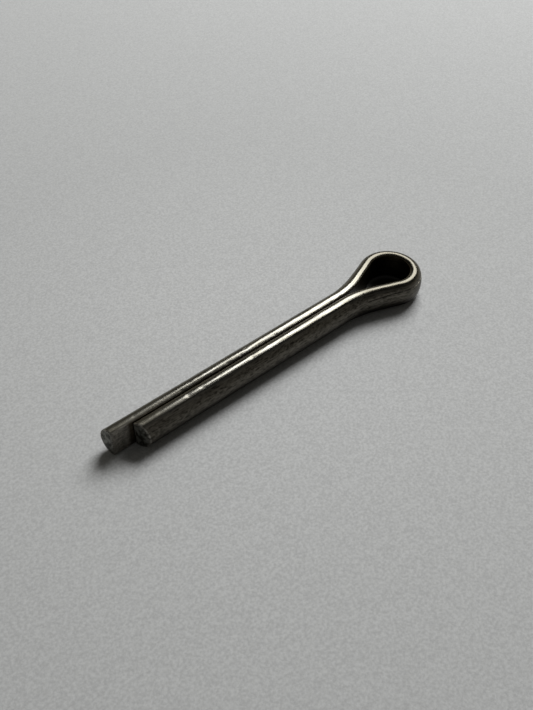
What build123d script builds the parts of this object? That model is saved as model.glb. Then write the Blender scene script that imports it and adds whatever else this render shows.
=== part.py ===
"""Split cotter pin, folded from one length of half round steel wire.

The two legs lie flat to flat and together make a round shank. The wire
spreads gently at the neck and runs round a teardrop eye, where bending has
squeezed it thinner and wider. One leg is longer than the other.

Frame: X runs along the shank towards the leg ends, Z is up, and the
pin lies on its side. The origin is on the shank axis, where the legs
start to spread into the eye. Millimetres.
"""
from build123d import *
from math import cos, radians, sin, sqrt
import os

# Shank
shank_diameter = 4.5
leg_gap = 0.13
short_leg_length = 33.4
leg_length_difference = 3.7
leg_corner_radius = 0.6

# Sheared leg ends
end_bevel = 0.2

# Neck and eye, measured on the flat inner side of the wire
neck_bend_radius = 13.0
flank_angle = 22.0
eye_inner_radius = 2.8
eye_wire_thickness = 1.8
eye_wire_width = 5.1
eye_corner_radius = 0.5

# Steps along each neck where the section is set
neck_steps = 2


def half_round_profile(plane, thickness, width, corner_radius):
    """Wire section: flat side on the plane's Y axis, crown towards its X axis.

    The crown is one arc, tangent to the rounding of both long corners.
    """
    corner_height = width / 2 - corner_radius
    corner_depth = thickness - corner_radius
    crown_radius = (corner_depth**2 + corner_height**2 - corner_radius**2) / (
        2 * (corner_depth - corner_radius)
    )
    sharp_corner = sqrt(crown_radius**2 - (crown_radius - thickness) ** 2)
    with BuildSketch(plane) as profile:
        with BuildLine():
            ThreePointArc((0, sharp_corner), (thickness, 0), (0, -sharp_corner))
            Line((0, -sharp_corner), (0, sharp_corner))
        make_face()
        fillet(profile.vertices(), corner_radius)
    return profile.sketch


def smooth_step(share):
    """Eased blend from 0 to 1, level at both ends."""
    return share * share * (3 - 2 * share)


# A leg's section: half of a round shank, less its share of the gap
shank_radius = shank_diameter / 2
leg_thickness = shank_radius - leg_gap / 2
leg_corner_depth = leg_gap / 2 + leg_corner_radius
leg_corner_height = sqrt((shank_radius - leg_corner_radius) ** 2 - leg_corner_depth**2)
leg_width = 2 * (leg_corner_height + leg_corner_radius)
long_leg_length = short_leg_length + leg_length_difference

# Each side's spread: the neck bend, then a straight flank up to the eye's round
flank = radians(flank_angle)
neck_rise = neck_bend_radius * (1 - cos(flank))
flank_length = (eye_inner_radius * cos(flank) - leg_gap / 2 - neck_rise) / sin(flank)


def neck_section(path, share):
    """The wire's section at a share of the neck's path, square to it."""
    squeeze = smooth_step(share)
    thickness = leg_thickness + (eye_wire_thickness - leg_thickness) * squeeze
    width = leg_width + (eye_wire_width - leg_width) * squeeze
    corner_radius = leg_corner_radius + (eye_corner_radius - leg_corner_radius) * squeeze
    outward = Vector(0, 0, 1).cross(path % share)
    plane = Plane(origin=path @ share, x_dir=outward, z_dir=path % share)
    return half_round_profile(plane, thickness, width, corner_radius)


with BuildPart() as split_pin:
    # The neck on the long leg's side follows the wire's inner flat
    with BuildLine() as spread:
        bend = JernArc((0, -leg_gap / 2), (-1, 0), neck_bend_radius, flank_angle)
        straight = Line(bend @ 1, bend @ 1 + (bend % 1) * flank_length)
    path = spread.wire()
    sections = [neck_section(path, step / neck_steps) for step in range(neck_steps + 1)]
    sweep(sections, path=path, multisection=True)

    # The short leg's neck is its mirror image
    mirror(about=Plane.XZ)

    # The round of the eye joins the two flanks, with one section all the way
    eye_start = straight @ 1
    eye_center = (eye_start.X - eye_inner_radius * sin(flank), 0, 0)
    revolve(
        neck_section(path, 1),
        axis=Axis(eye_center, (0, 0, -1)),
        revolution_arc=180 + 2 * flank_angle,
    )

    # Straight legs
    for side, length in ((-1, long_leg_length), (1, short_leg_length)):
        root = Plane(origin=(0, side * leg_gap / 2, 0), x_dir=(0, side, 0), z_dir=(1, 0, 0))
        leg_profile = half_round_profile(root, leg_thickness, leg_width, leg_corner_radius)
        extrude(leg_profile, amount=length)

    # Each sheared leg end has lost its sharp rim
    for length in (long_leg_length, short_leg_length):
        end_face = split_pin.faces().filter_by(Plane.YZ).filter_by_position(Axis.X, length, length)
        chamfer(end_face.edges(), end_bevel)

split_pin.part.label = "split_pin"
os.makedirs("parts", exist_ok=True)
export_step(split_pin.part, "parts/split_pin.step")
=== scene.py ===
import math

import bpy
from mathutils import Matrix, Vector, noise


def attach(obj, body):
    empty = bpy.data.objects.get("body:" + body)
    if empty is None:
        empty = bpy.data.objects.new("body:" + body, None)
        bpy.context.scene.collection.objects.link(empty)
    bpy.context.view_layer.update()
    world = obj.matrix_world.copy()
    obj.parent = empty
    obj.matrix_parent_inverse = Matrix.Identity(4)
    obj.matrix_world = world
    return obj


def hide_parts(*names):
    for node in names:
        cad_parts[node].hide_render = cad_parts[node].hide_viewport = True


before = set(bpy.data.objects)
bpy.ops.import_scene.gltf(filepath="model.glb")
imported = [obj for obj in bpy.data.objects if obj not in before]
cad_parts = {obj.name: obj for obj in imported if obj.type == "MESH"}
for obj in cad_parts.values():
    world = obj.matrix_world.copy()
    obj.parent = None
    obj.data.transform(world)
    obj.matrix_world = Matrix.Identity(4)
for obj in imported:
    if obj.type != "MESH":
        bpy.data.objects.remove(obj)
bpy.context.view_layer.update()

MM = 0.001

# Driving sizes, the same as the solid's
LEG_GAP = 0.13
SHORT_LEG = 33.4
LONG_LEG = 37.1
NECK_BEND_RADIUS = 13.0
FLANK_ANGLE = math.radians(22.0)
EYE_RADIUS = 2.8

# Section of the wire. Depth counts from the flat side outwards, height from
# the wire's middle. A low crest lies on the top and bottom, and a rounded
# shoulder joins each crest to the outer wall. The eye is lower here than in
# the solid.
LEG_SECTION = {
    "thickness": 2.185,
    "half_height": 1.97,
    "crest_depth": 0.68,
    "crest_radius": 1.35,
    "inner_radius": 0.12,
    "shoulder_radius": 0.4,
    "wall_radius": 2.25,
}
EYE_SECTION = {
    "thickness": 1.8,
    "half_height": 1.98,
    "crest_depth": 0.62,
    "crest_radius": 1.0,
    "inner_radius": 0.15,
    "shoulder_radius": 0.3,
    "wall_radius": 4.5,
}

# Sheared ends, cut oblique. The long leg's flat side is shorter than its round
# side, and the whole end is trimmed. The short leg's flat side reaches past
# the solid's end, and the slant brings its round side back. Both fade out at
# the slant's reach along the leg. The face of each cut is torn and uneven.
END_BEVEL = 0.1
LONG_END_TRIM = 0.04
LONG_END_SLANT = 0.3
SHORT_END_REACH = 0.4
SHORT_END_SLANT = 0.8
SLANT_REACH = 3.0
TEAR_DEPTH = 0.05
TEAR_SCALE = 3.0
CUT_RELIEF = 0.03
CUT_RELIEF_SCALE = 2.5

# Uneven skin, all of it inwards from the ideal section. Each scale is along
# the wire and across it, and only dents above their level show.
WAVE_DEPTH = 0.02
WAVE_SCALE = (0.3, 0.8)
DENT_DEPTH = 0.05
DENT_SCALE = (0.9, 2.0)
DENT_LEVEL = 0.3

# Noise is read from a different slice for each use
DENT_SLICE = 9
TEAR_SLICE = 4

# Mesh density
STATION_STEP = 0.2
FLAT_POINTS = 7
CORNER_POINTS = 6
CREST_POINTS = 10
WALL_POINTS = 14
BEVEL_RINGS = 4
CAP_RINGS = 6

# Halvings that fit the shoulder between the crest and the wall
SHOULDER_FIT_STEPS = 30

# Steel patterns: noise scale along the wire, in depth and in height, then
# detail and roughness
STREAKS = ((0.25, 7.0, 7.0), 6.0, 0.55)
MOTTLES = ((1.6, 3.6, 3.6), 6.0, 0.7)
GRAIN = ((9.0, 14.0, 14.0), 3.0, 0.55)
OIL_PATCHES = ((0.35, 1.5, 1.5), 3.0, 0.55)
CUT_PATCHES = ((1.0, 1.3, 1.3), 3.0, 0.55)

# The part of a pattern's 0 to 1 that is spread over its two looks
MOTTLE_SPREAD = (0.4, 0.6)
WALL_STREAK_SPREAD = (0.45, 0.7)
CREST_STREAK_SPREAD = (0.3, 0.6)
OIL_SPREAD = (0.42, 0.62)
FLAT_SPREAD = (0.35, 0.65)
CUT_SPREAD = (0.42, 0.58)
WIDE_SPREAD = (0.3, 0.7)

# Steel colours. A pair is the dark one and the light one.
WALL_COLOURS = ((0.024, 0.021, 0.016), (0.125, 0.115, 0.096))
WALL_STREAK = (0.14, 0.13, 0.11)
# The crests' lighter colours are a painted highlight
CREST_HIGHLIGHT_COLOURS = ((0.07, 0.065, 0.05), (0.13, 0.126, 0.112))
# The oil layer's dark colours, which also make painted shade on the long leg's flat next to the short
# leg's end
FILM_AND_SHADE_COLOURS = ((0.03, 0.02, 0.015), (0.08, 0.072, 0.05))
BARE_COLOURS = ((0.08, 0.072, 0.063), (0.34, 0.32, 0.28))
CUT_COLOURS = ((0.035, 0.033, 0.026), (0.2, 0.2, 0.18))
RIM_COLOURS = ((0.05, 0.045, 0.04), (0.3, 0.29, 0.26))
# Darker crest colour for oil patches and for the darkening near the ends and round the eye
CREST_DARKENED = (0.034, 0.031, 0.023)
# Near black on the underside of the wire: painted shade
UNDERSIDE_PAINTED_SHADE = (0.008, 0.007, 0.006)

# Where each look of the steel starts and where it is full: heights for the
# crest and the underside, a depth for the flat side, and lengths from the
# tip of the leg for the rest
CREST_EDGE = (1.62, 1.86)
UNDERSIDE_SHADE_EDGE = (-0.2, -1.3)
FLAT_EDGE = (0.25, 0.02)
# Darker and rougher towards each leg end
LONG_END_DARKENING = (12.0, 1.0)
SHORT_END_DARKENING = (10.0, 1.0)
# The flat turns bare short of the short leg's end, leaving a strip of painted shade beside it
SHADE_TO_BARE_EDGE = (2.9, 2.4)
RIM_EDGE = (0.16, 0.09)
CREST_EDGE_WANDER = 0.12

# The darkening round the eye starts this far before the neck of the long leg,
# and fades out over this length of the short leg's neck
EYE_DARKENING_LEAD = 1.0
EYE_DARKENING_FADE = 4.0

# How much of the steel's colour each darkening takes at the most: near the ends,
# round the eye, in oil patches, and the painted shade on the underside
END_DARKENING_SHARE = 0.75
EYE_DARKENING_SHARE = 0.9
OIL_SHARE = 0.5
UNDERSIDE_SHADE_SHARE = 0.95

# Steel finish
WALL_ROUGHNESS = 0.4
CREST_ROUGHNESS = 0.2
GRAIN_ROUGHNESS = 0.04
END_DARKENING_ROUGHNESS = 0.2
GRAIN_RELIEF = 0.2

# Paper, with a painted pool of light that grows a little darker away from the pin, and a painted shadow
# under the eye.
# Its noise scale is per metre.
PAPER_REACH = 1500.0
# Painted light: lighter paper near the pin, darker paper further out
PAPER_NEAR_PAINTED_LIGHT = (0.50, 0.505, 0.5)
PAPER_FAR_PAINTED_DIM = (0.44, 0.445, 0.44)
PAPER_LIGHT_FALLOFF = (12.0, 55.0)
PAPER_GRAIN = ((3200.0, 3200.0, 3200.0), 3.0, 0.7)
PAPER_FLECK = (0.25, 0.25, 0.25)
FLECK_SPREAD = (0.35, 0.65)
FLECK_SHARE = (0.05, 0.5)
PAPER_ROUGHNESS = 0.9
PAPER_SPECULAR = 0.1
# Painted shadow on the paper under and inside the eye
EYE_SHADOW_COLOUR = (0.03, 0.027, 0.022)
EYE_SHADOW_EDGE = (4.4, 3.0)

# Bump of each material: strength and depth
STEEL_BUMP = (1.0, 0.01)
PAPER_BUMP = (0.3, 0.03)

# Camera, fitted to the photo
PHOTO_HEIGHT = 710
FOCAL_PIXELS = 850
SENSOR_WIDTH = 36.0
CLIP_NEAR = 5.0
CLIP_FAR = 10000.0
CAMERA_ELEVATION = math.radians(44.61)
CAMERA_AZIMUTH = math.radians(40.95)
CAMERA_DISTANCE = 109.59
CAMERA_TARGET = Vector((13.43, 0.34, 0.0))

# Window: azimuth 0 is straight behind the pin, seen from the camera, and + is right
WINDOW_AZIMUTH = math.radians(22)
WINDOW_ELEVATION = math.radians(45)
WINDOW_DISTANCE = 600.0
WINDOW_SIZE = (340.0, 300.0)
WINDOW_WATTS = 5.0
WINDOW_COLOUR = (0.995, 1.0, 1.005)

# Room: dim above, lighter at the horizon, and lightest behind the pin. Each
# spread is how far a direction points behind the pin, or up.
ROOM_ABOVE = (0.06, 0.06, 0.058)
HORIZON_NEAR = (0.15, 0.145, 0.13)
HORIZON_BEHIND = (0.62, 0.575, 0.45)
BEHIND_PIN = (-0.65, -0.76, 0.0)
BEHIND_SPREAD = (-0.4, 0.6)
ABOVE_SPREAD = (0.1, 0.6)

# The wire's run along its flat side: each stretch's length and curvature
NECK_RISE = NECK_BEND_RADIUS * (1 - math.cos(FLANK_ANGLE))
FLANK_LENGTH = (EYE_RADIUS * math.cos(FLANK_ANGLE) - LEG_GAP / 2 - NECK_RISE) / math.sin(FLANK_ANGLE)
BEND_LENGTH = NECK_BEND_RADIUS * FLANK_ANGLE
NECK_LENGTH = BEND_LENGTH + FLANK_LENGTH
EYE_LENGTH = EYE_RADIUS * (math.pi + 2 * FLANK_ANGLE)
SPREAD_END_X = -NECK_BEND_RADIUS * math.sin(FLANK_ANGLE) - FLANK_LENGTH * math.cos(FLANK_ANGLE)
EYE_CENTER_X = SPREAD_END_X - EYE_RADIUS * math.sin(FLANK_ANGLE)
RUNS = (
    (LONG_LEG, 0.0),
    (BEND_LENGTH, 1 / NECK_BEND_RADIUS),
    (FLANK_LENGTH, 0.0),
    (EYE_LENGTH, -1 / EYE_RADIUS),
    (FLANK_LENGTH, 0.0),
    (BEND_LENGTH, 1 / NECK_BEND_RADIUS),
    (SHORT_LEG, 0.0),
)
WIRE_LENGTH = sum(length for length, _ in RUNS)


def smooth_step(share):
    """Eased blend from 0 to 1, level at both ends."""
    share = min(max(share, 0.0), 1.0)
    return share * share * (3 - 2 * share)


def wire_at(station):
    """Point and heading of the wire's flat side at a length along it."""
    x, y, heading = LONG_LEG, -LEG_GAP / 2, math.pi
    left = station
    for length, curvature in RUNS:
        step = min(left, length)
        if curvature:
            turned = heading + curvature * step
            x += (math.sin(turned) - math.sin(heading)) / curvature
            y += (math.cos(heading) - math.cos(turned)) / curvature
            heading = turned
        else:
            x += step * math.cos(heading)
            y += step * math.sin(heading)
        left -= step
        if left <= 0:
            break
    return x, y, heading


def squeeze_at(station):
    """0 in the legs, 1 in the eye, where bending squeezed the wire."""
    return smooth_step(min(station - LONG_LEG, WIRE_LENGTH - SHORT_LEG - station) / NECK_LENGTH)


def arc(center, radius, start, end, count):
    """Points on an arc and their outward normals, without the one at its end."""
    points = []
    for i in range(count):
        turn = start + (end - start) * i / count
        normal = Vector((math.cos(turn), math.sin(turn)))
        points.append((center + normal * radius, normal))
    return points


def shoulder_lean(crest_center, crest, shoulder, wall_center, wall):
    """How far the crest turns before the shoulder, which slides along it until it touches the wall."""
    low, high = 0.0, math.pi / 2
    for _ in range(SHOULDER_FIT_STEPS):
        lean = (low + high) / 2
        center = crest_center + (crest - shoulder) * Vector((math.sin(lean), math.cos(lean)))
        if (center - wall_center).length < wall - shoulder:
            low = lean
        else:
            high = lean
    return lean


def section_at(station):
    """Outline of the wire's section as (depth, height) points with their normals."""
    share = squeeze_at(station)
    size = {name: leg + (EYE_SECTION[name] - leg) * share for name, leg in LEG_SECTION.items()}
    inner, shoulder = size["inner_radius"], size["shoulder_radius"]
    crest, wall = size["crest_radius"], size["wall_radius"]
    crest_center = Vector((size["crest_depth"], size["half_height"] - crest))
    wall_center = Vector((size["thickness"] - wall, 0))

    lean = shoulder_lean(crest_center, crest, shoulder, wall_center, wall)
    shoulder_center = crest_center + (crest - shoulder) * Vector((math.sin(lean), math.cos(lean)))
    to_shoulder = shoulder_center - wall_center
    wall_start = math.atan2(to_shoulder.y, to_shoulder.x)
    inner_lean = math.asin((crest_center.x - inner) / (crest - inner))
    inner_center = crest_center + (crest - inner) * Vector((-math.sin(inner_lean), math.cos(inner_lean)))

    up = math.pi / 2
    half = []
    for i in range(FLAT_POINTS):
        half.append((Vector((0, inner_center.y * i / FLAT_POINTS)), Vector((-1, 0))))
    half += arc(inner_center, inner, math.pi, up + inner_lean, CORNER_POINTS)
    half += arc(crest_center, crest, up + inner_lean, up - lean, CREST_POINTS)
    half += arc(shoulder_center, shoulder, up - lean, wall_start, CORNER_POINTS)
    half += arc(wall_center, wall, wall_start, 0, WALL_POINTS)
    half.append((Vector((size["thickness"], 0)), Vector((1, 0))))
    mirrored = [(Vector((p.x, -p.y)), Vector((n.x, -n.y))) for p, n in half[-2:0:-1]]
    return half + mirrored


def noise_at(station, point, scale, offset=0):
    """Noise at a place on the wire, by a scale along it and one across it."""
    along, across = scale
    return noise.noise(Vector((station * along, point.x * across, point.y * across + offset)))


def sunk_at(station, point):
    """How far the skin lies under its ideal place: long waves and small dents."""
    wave = noise_at(station, point, WAVE_SCALE)
    dent = noise_at(station, point, DENT_SCALE, DENT_SLICE)
    return WAVE_DEPTH * (0.5 + 0.5 * wave) + DENT_DEPTH * max(dent - DENT_LEVEL, 0)


def slant_at(station, point):
    """How far along X a point near a sheared end is moved, as the cut was oblique."""
    share = point.x / LEG_SECTION["thickness"]
    torn = TEAR_DEPTH * noise.noise(Vector((point.x * TEAR_SCALE, point.y * TEAR_SCALE, TEAR_SLICE)))
    long_end = smooth_step(1 - station / SLANT_REACH)
    short_end = smooth_step(1 - (WIRE_LENGTH - station) / SLANT_REACH)
    long_move = -LONG_END_SLANT * (1 - share) - LONG_END_TRIM + torn
    short_move = SHORT_END_REACH - SHORT_END_SLANT * share + torn
    return long_move * long_end + short_move * short_end


def ring_stations():
    """Each ring's length along the wire, and how far the end's bevel sets it in."""
    bevel = []
    for i in range(BEVEL_RINGS + 1):
        turn = math.pi / 2 * i / BEVEL_RINGS
        bevel.append((END_BEVEL * (1 - math.cos(turn)), END_BEVEL * (1 - math.sin(turn))))
    straight = WIRE_LENGTH - 2 * END_BEVEL
    count = int(straight / STATION_STEP)
    middle = [(END_BEVEL + straight * i / count, 0.0) for i in range(1, count)]
    far_bevel = [(WIRE_LENGTH - station, inset) for station, inset in reversed(bevel)]
    return bevel + middle + far_bevel


def add_rings(vertices, places, faces):
    """The wire's long skin, ring by ring. Returns how many points go round it."""
    stations = ring_stations()
    for station, inset in stations:
        x, y, heading = wire_at(station)
        out_x, out_y = -math.sin(heading), math.cos(heading)
        outline = section_at(station)
        for point, normal in outline:
            spot = point - normal * (inset + sunk_at(station, point))
            shift = slant_at(station, spot)
            vertices.append((x + shift + out_x * spot.x, y + out_y * spot.x, spot.y))
            places.append((station, point.x, point.y))
    around = len(outline)
    for ring in range(len(stations) - 1):
        for i in range(around):
            a = ring * around + i
            b = ring * around + (i + 1) % around
            faces.append((a, a + around, b + around, b))
    return around


def add_cap(vertices, places, faces, start, count, flip):
    """Closes a sheared end with rings that shrink to its middle. Flip turns its faces over."""
    edge = list(range(start, start + count))
    rim = [Vector(vertices[i]) for i in edge]
    center = sum(rim, Vector()) / count
    middle_place = Vector((places[start][0], LEG_SECTION["thickness"] / 2, 0.0))
    for step in range(1, CAP_RINGS + 1):
        shrink = 1 - step / CAP_RINGS
        last = step == CAP_RINGS
        inner = []
        for i, corner in enumerate(rim):
            if last and inner:
                inner.append(inner[0])
                continue
            spot = center + (corner - center) * shrink
            spot.x -= CUT_RELIEF * noise.noise(spot * CUT_RELIEF_SCALE)
            inner.append(len(vertices))
            vertices.append(tuple(spot))
            places.append(tuple(middle_place.lerp(Vector(places[start + i]), shrink)))
        for i in range(count):
            after = (i + 1) % count
            corners = [edge[i], edge[after], inner[after], inner[i]]
            if last:
                corners.pop()
            faces.append(corners[::-1] if flip else corners)
        edge = inner


def build_wire():
    """The whole pin as one closed mesh. Each point keeps its station, depth and height."""
    vertices, places, faces = [], [], []
    around = add_rings(vertices, places, faces)
    skin_points = len(vertices)
    add_cap(vertices, places, faces, 0, around, False)
    add_cap(vertices, places, faces, skin_points - around, around, True)
    cap_points = len(vertices) - skin_points
    mesh = bpy.data.meshes.new("split_pin_wire")
    mesh.from_pydata([tuple(c * MM for c in v) for v in vertices], [], faces)
    place = mesh.attributes.new("wire_place", "FLOAT_VECTOR", "POINT")
    place.data.foreach_set("vector", [c for v in places for c in v])
    cut = mesh.attributes.new("cut_face", "FLOAT", "POINT")
    cut.data.foreach_set("value", [0.0] * skin_points + [1.0] * cap_points)
    for polygon in mesh.polygons:
        polygon.use_smooth = True
    mesh.validate()
    mesh.update()
    wire = bpy.data.objects.new("split_pin_wire", mesh)
    bpy.context.scene.collection.objects.link(wire)
    return wire


def node(tree, kind, inputs=None, **settings):
    """A shader node with its settings and its unlinked inputs."""
    made = tree.nodes.new(kind)
    for name, value in settings.items():
        setattr(made, name, value)
    for name, value in (inputs or {}).items():
        made.inputs[name].default_value = value
    return made


def stretched_noise(tree, vector, stretch, detail, roughness):
    """Noise over a vector that is scaled first, so it can run in streaks."""
    scaled = node(tree, "ShaderNodeVectorMath", {1: stretch}, operation="MULTIPLY")
    tree.links.new(vector, scaled.inputs[0])
    made = node(tree, "ShaderNodeTexNoise", {"Scale": 1.0, "Detail": detail, "Roughness": roughness})
    tree.links.new(scaled.outputs["Vector"], made.inputs["Vector"])
    return made.outputs["Fac"]


def ranged(tree, value, low, high, to_low=0.0, to_high=1.0):
    """A value moved from one range to another, and kept inside it."""
    limits = {"From Min": low, "From Max": high, "To Min": to_low, "To Max": to_high}
    made = node(tree, "ShaderNodeMapRange", limits)
    tree.links.new(value, made.inputs["Value"])
    return made.outputs["Result"]


def calculated(tree, operation, *values):
    """Math on sockets and numbers."""
    made = node(tree, "ShaderNodeMath", operation=operation)
    for socket, value in zip(made.inputs, values):
        if isinstance(value, float):
            socket.default_value = value
        else:
            tree.links.new(value, socket)
    return made.outputs["Value"]


def colour_socket(sockets, name):
    """A Mix node's colour socket. Its sockets of other types have the same names."""
    return next(socket for socket in sockets if socket.name == name and socket.type == "RGBA")


def mixed(tree, share, first, second):
    """Two colours mixed by a share. Each is a socket or a red, green and blue."""
    made = node(tree, "ShaderNodeMix", data_type="RGBA")
    tree.links.new(share, made.inputs["Factor"])
    for name, value in (("A", first), ("B", second)):
        socket = colour_socket(made.inputs, name)
        if isinstance(value, tuple):
            socket.default_value = (*value, 1)
        else:
            tree.links.new(value, socket)
    return colour_socket(made.outputs, "Result")


def share_by_distance(tree, spot, x, edge):
    """Share that goes from 0 to 1 between two distances from a point on the X axis."""
    away = node(tree, "ShaderNodeVectorMath", {1: (x * MM, 0, 0)}, operation="DISTANCE")
    tree.links.new(spot, away.inputs[0])
    return ranged(tree, away.outputs["Value"], *(distance * MM for distance in edge))


def add_bump(tree, relief, strength, depth):
    """Relief on the tree's shader."""
    bump = node(tree, "ShaderNodeBump", {"Strength": strength, "Distance": depth * MM})
    tree.links.new(relief, bump.inputs["Height"])
    tree.links.new(bump.outputs["Normal"], tree.nodes["Principled BSDF"].inputs["Normal"])


def steel_maps(tree):
    """The places and patterns on the wire that the steel's looks are made from."""
    place = node(tree, "ShaderNodeAttribute", attribute_name="wire_place").outputs["Vector"]
    parts = node(tree, "ShaderNodeSeparateXYZ")
    tree.links.new(place, parts.inputs["Vector"])
    mottles = stretched_noise(tree, place, *MOTTLES)
    return {
        "station": parts.outputs["X"],
        "depth": parts.outputs["Y"],
        "height": parts.outputs["Z"],
        "cut": node(tree, "ShaderNodeAttribute", attribute_name="cut_face").outputs["Fac"],
        "streaks": stretched_noise(tree, place, *STREAKS),
        "mottles": mottles,
        "strong_mottles": ranged(tree, mottles, *MOTTLE_SPREAD),
        "grain": stretched_noise(tree, place, *GRAIN),
        "oil": stretched_noise(tree, place, *OIL_PATCHES),
        "cut_patches": stretched_noise(tree, place, *CUT_PATCHES),
    }


def near_ends(tree, station, long_edge, short_edge, share=1.0):
    """Share that grows towards both leg ends, between two lengths from each tip."""
    long_end = ranged(tree, station, *long_edge, 0.0, share)
    short_start, short_full = (WIRE_LENGTH - length for length in short_edge)
    short_end = ranged(tree, station, short_start, short_full, 0.0, share)
    return calculated(tree, "MAXIMUM", long_end, short_end)


def eye_darkening(tree, station):
    """Share of darkening round the eye and its necks."""
    long_start, long_full = LONG_LEG - EYE_DARKENING_LEAD, LONG_LEG + NECK_LENGTH
    from_long = ranged(tree, station, long_start, long_full, 0.0, EYE_DARKENING_SHARE)
    short_start = WIRE_LENGTH - SHORT_LEG
    from_short = ranged(tree, station, short_start, short_start - EYE_DARKENING_FADE, 0.0, EYE_DARKENING_SHARE)
    return calculated(tree, "MINIMUM", from_long, from_short)


def crest_share(tree, maps):
    """Share that is 1 on the crests, with an uneven edge. It gives them a lighter colour, a painted
    highlight, and a smoother finish.
    """
    wander = ranged(tree, maps["mottles"], *WIDE_SPREAD, -CREST_EDGE_WANDER, CREST_EDGE_WANDER)
    height = calculated(tree, "ABSOLUTE", maps["height"])
    return ranged(tree, calculated(tree, "ADD", height, wander), *CREST_EDGE)


def round_side(tree, maps, crest, end_darkening):
    """Colour of the walls and crests: mottled and streaked, with oil patches, darker near the leg ends
    and round the eye, lighter crests as a painted highlight, and painted shade towards the bottom.
    """
    wall = mixed(tree, maps["strong_mottles"], *WALL_COLOURS)
    wall = mixed(tree, ranged(tree, maps["streaks"], *WALL_STREAK_SPREAD), wall, WALL_STREAK)
    # Painted highlight: the crests get lighter colours than the walls
    painted_highlight = mixed(tree, ranged(tree, maps["streaks"], *CREST_STREAK_SPREAD), *CREST_HIGHLIGHT_COLOURS)
    skin = mixed(tree, crest, wall, painted_highlight)
    patches = ranged(tree, maps["oil"], *OIL_SPREAD, 0.0, OIL_SHARE)
    darkening = calculated(tree, "MAXIMUM", end_darkening, patches)
    darkening = calculated(tree, "MAXIMUM", darkening, eye_darkening(tree, maps["station"]))
    skin = mixed(tree, darkening, skin, mixed(tree, crest, wall, CREST_DARKENED))
    # Painted shade: towards the bottom of the wire the steel goes near black
    painted_underside_shade = ranged(tree, maps["height"], *UNDERSIDE_SHADE_EDGE, 0.0, UNDERSIDE_SHADE_SHARE)
    return mixed(tree, painted_underside_shade, skin, UNDERSIDE_PAINTED_SHADE)


def flat_side(tree, maps):
    """Colour of the inner side: a thin brown oil layer, bare where the long leg sticks out, but kept
    dark next to the short leg's end as painted shade.
    """
    film_and_shade = mixed(tree, ranged(tree, maps["streaks"], *FLAT_SPREAD), *FILM_AND_SHADE_COLOURS)
    bare = mixed(tree, ranged(tree, maps["mottles"], *FLAT_SPREAD), *BARE_COLOURS)
    return mixed(tree, ranged(tree, maps["station"], *SHADE_TO_BARE_EDGE), film_and_shade, bare)


def with_cut_ends(tree, maps, skin):
    """The skin's colour with both ends' patchy cuts and their bare rims."""
    cut_colour = mixed(tree, ranged(tree, maps["cut_patches"], *CUT_SPREAD), *CUT_COLOURS)
    skin = mixed(tree, maps["cut"], skin, cut_colour)
    rim = near_ends(tree, maps["station"], RIM_EDGE, RIM_EDGE)
    rim = ranged(tree, calculated(tree, "SUBTRACT", rim, maps["cut"]), 0.0, 1.0)
    return mixed(tree, rim, skin, mixed(tree, maps["strong_mottles"], *RIM_COLOURS))


def steel_roughness(tree, maps, crest, end_darkening):
    """Smoother on the crests, rougher where the leg ends are darkened, and uneven with the grain."""
    rough = ranged(tree, crest, 0.0, 1.0, WALL_ROUGHNESS, CREST_ROUGHNESS)
    uneven = ranged(tree, maps["grain"], *WIDE_SPREAD, -GRAIN_ROUGHNESS, GRAIN_ROUGHNESS)
    rough = calculated(tree, "ADD", rough, uneven)
    return calculated(tree, "ADD", rough, calculated(tree, "MULTIPLY", end_darkening, END_DARKENING_ROUGHNESS))


def steel_material():
    """Dark oiled steel: crests lighter in a painted highlight, brown mottled walls, drawn streaks along
    the wire.
    """
    material = bpy.data.materials.new("dark_drawn_steel")
    material.use_nodes = True
    tree = material.node_tree
    shader = tree.nodes["Principled BSDF"]
    shader.inputs["Metallic"].default_value = 1.0
    maps = steel_maps(tree)
    crest = crest_share(tree, maps)
    end_darkening = near_ends(tree, maps["station"], LONG_END_DARKENING, SHORT_END_DARKENING, END_DARKENING_SHARE)
    skin = round_side(tree, maps, crest, end_darkening)
    skin = mixed(tree, ranged(tree, maps["depth"], *FLAT_EDGE), skin, flat_side(tree, maps))
    tree.links.new(with_cut_ends(tree, maps, skin), shader.inputs["Base Color"])
    tree.links.new(steel_roughness(tree, maps, crest, end_darkening), shader.inputs["Roughness"])
    grain = calculated(tree, "MULTIPLY", maps["grain"], GRAIN_RELIEF)
    add_bump(tree, calculated(tree, "ADD", maps["streaks"], grain), *STEEL_BUMP)
    return material


def paper_material():
    """Plain grey-white paper with a fine grain, a painted pool of light round the pin, and a painted
    shadow under the eye.
    """
    material = bpy.data.materials.new("pale_paper")
    material.use_nodes = True
    tree = material.node_tree
    shader = tree.nodes["Principled BSDF"]
    shader.inputs["Roughness"].default_value = PAPER_ROUGHNESS
    shader.inputs["Specular IOR Level"].default_value = PAPER_SPECULAR
    spot = node(tree, "ShaderNodeNewGeometry").outputs["Position"]
    grain = stretched_noise(tree, spot, *PAPER_GRAIN)
    # Painted light: the paper is lighter near the pin and darker further out
    painted_falloff = share_by_distance(tree, spot, CAMERA_TARGET.x, PAPER_LIGHT_FALLOFF)
    paper = mixed(tree, painted_falloff, PAPER_NEAR_PAINTED_LIGHT, PAPER_FAR_PAINTED_DIM)
    paper = mixed(tree, ranged(tree, grain, *FLECK_SPREAD, *FLECK_SHARE), paper, PAPER_FLECK)
    # Painted shadow: the paper goes dark under the eye
    painted_eye_shadow = share_by_distance(tree, spot, EYE_CENTER_X, EYE_SHADOW_EDGE)
    tree.links.new(mixed(tree, painted_eye_shadow, paper, EYE_SHADOW_COLOUR), shader.inputs["Base Color"])
    add_bump(tree, grain, *PAPER_BUMP)
    return material


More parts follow.
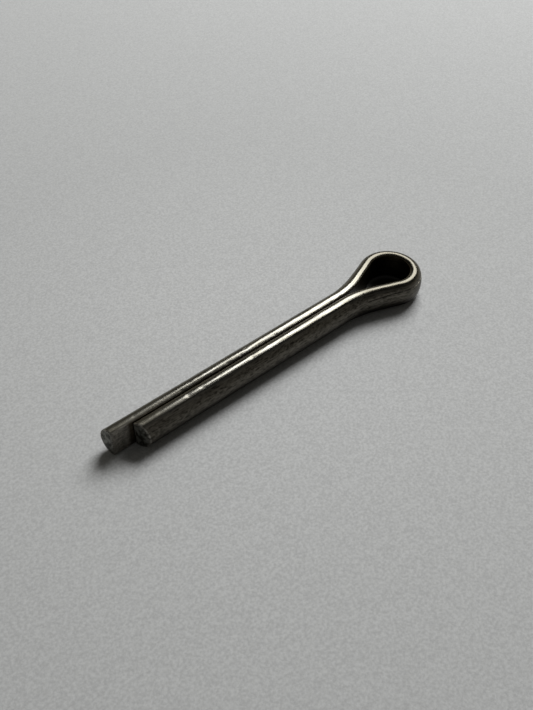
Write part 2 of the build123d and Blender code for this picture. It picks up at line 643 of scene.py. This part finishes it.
def add_floor():
    """A sheet of paper that the eye and the legs both touch."""
    slope = (EYE_SECTION["half_height"] - LEG_SECTION["half_height"]) / (LONG_LEG - EYE_CENTER_X)
    corners = []
    for side_x, side_y in ((-1, -1), (1, -1), (1, 1), (-1, 1)):
        x, y = side_x * PAPER_REACH, side_y * PAPER_REACH
        z = -EYE_SECTION["half_height"] + slope * (x - EYE_CENTER_X)
        corners.append((x * MM, y * MM, z * MM))
    mesh = bpy.data.meshes.new("paper")
    mesh.from_pydata(corners, [], [(0, 1, 2, 3)])
    mesh.update()
    floor = bpy.data.objects.new("paper", mesh)
    bpy.context.scene.collection.objects.link(floor)
    mesh.materials.append(paper_material())


def aim_at_pin(thing, azimuth, elevation, distance):
    """Puts a camera or lamp at a distance from the pin, turned to look at it.

    Azimuth turns from +Y towards +X.
    """
    level = math.cos(elevation)
    direction = Vector((level * math.sin(azimuth), level * math.cos(azimuth), math.sin(elevation)))
    place = (CAMERA_TARGET + direction * distance) * MM
    turn = direction.to_track_quat("Z", "Y").to_matrix().to_4x4()
    thing.matrix_world = Matrix.Translation(place) @ turn
    bpy.context.scene.collection.objects.link(thing)


def add_camera():
    """The camera at the photo's angle and distance."""
    data = bpy.data.cameras.new("camera")
    data.sensor_width = SENSOR_WIDTH
    data.lens = FOCAL_PIXELS * SENSOR_WIDTH / PHOTO_HEIGHT
    data.clip_start = CLIP_NEAR * MM
    data.clip_end = CLIP_FAR * MM
    camera = bpy.data.objects.new("camera", data)
    aim_at_pin(camera, CAMERA_AZIMUTH, CAMERA_ELEVATION, CAMERA_DISTANCE)
    bpy.context.scene.camera = camera


def add_window():
    """One broad soft lamp behind the pin, a little to the right."""
    data = bpy.data.lights.new("window", "AREA")
    data.shape = "RECTANGLE"
    data.size, data.size_y = WINDOW_SIZE[0] * MM, WINDOW_SIZE[1] * MM
    data.energy = WINDOW_WATTS
    data.color = WINDOW_COLOUR
    window = bpy.data.objects.new("window", data)
    aim_at_pin(window, CAMERA_AZIMUTH + math.pi + WINDOW_AZIMUTH, WINDOW_ELEVATION, WINDOW_DISTANCE)


def add_world():
    """A dim room, lighter towards the horizon behind the pin."""
    world = bpy.data.worlds.new("room")
    world.use_nodes = True
    tree = world.node_tree
    direction = node(tree, "ShaderNodeTexCoord").outputs["Generated"]
    parts = node(tree, "ShaderNodeSeparateXYZ")
    tree.links.new(direction, parts.inputs["Vector"])
    behind = node(tree, "ShaderNodeVectorMath", {1: BEHIND_PIN}, operation="DOT_PRODUCT")
    tree.links.new(direction, behind.inputs[0])
    side = ranged(tree, behind.outputs["Value"], *BEHIND_SPREAD)
    horizon = mixed(tree, side, HORIZON_NEAR, HORIZON_BEHIND)
    room = mixed(tree, ranged(tree, parts.outputs["Z"], *ABOVE_SPREAD), horizon, ROOM_ABOVE)
    tree.links.new(room, tree.nodes["Background"].inputs["Color"])
    bpy.context.scene.world = world


wire = build_wire()
wire.data.materials.append(steel_material())
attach(wire, "root")
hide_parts("split_pin")
add_floor()
add_camera()
add_world()
add_window()
bpy.context.scene.view_settings.view_transform = "Standard"
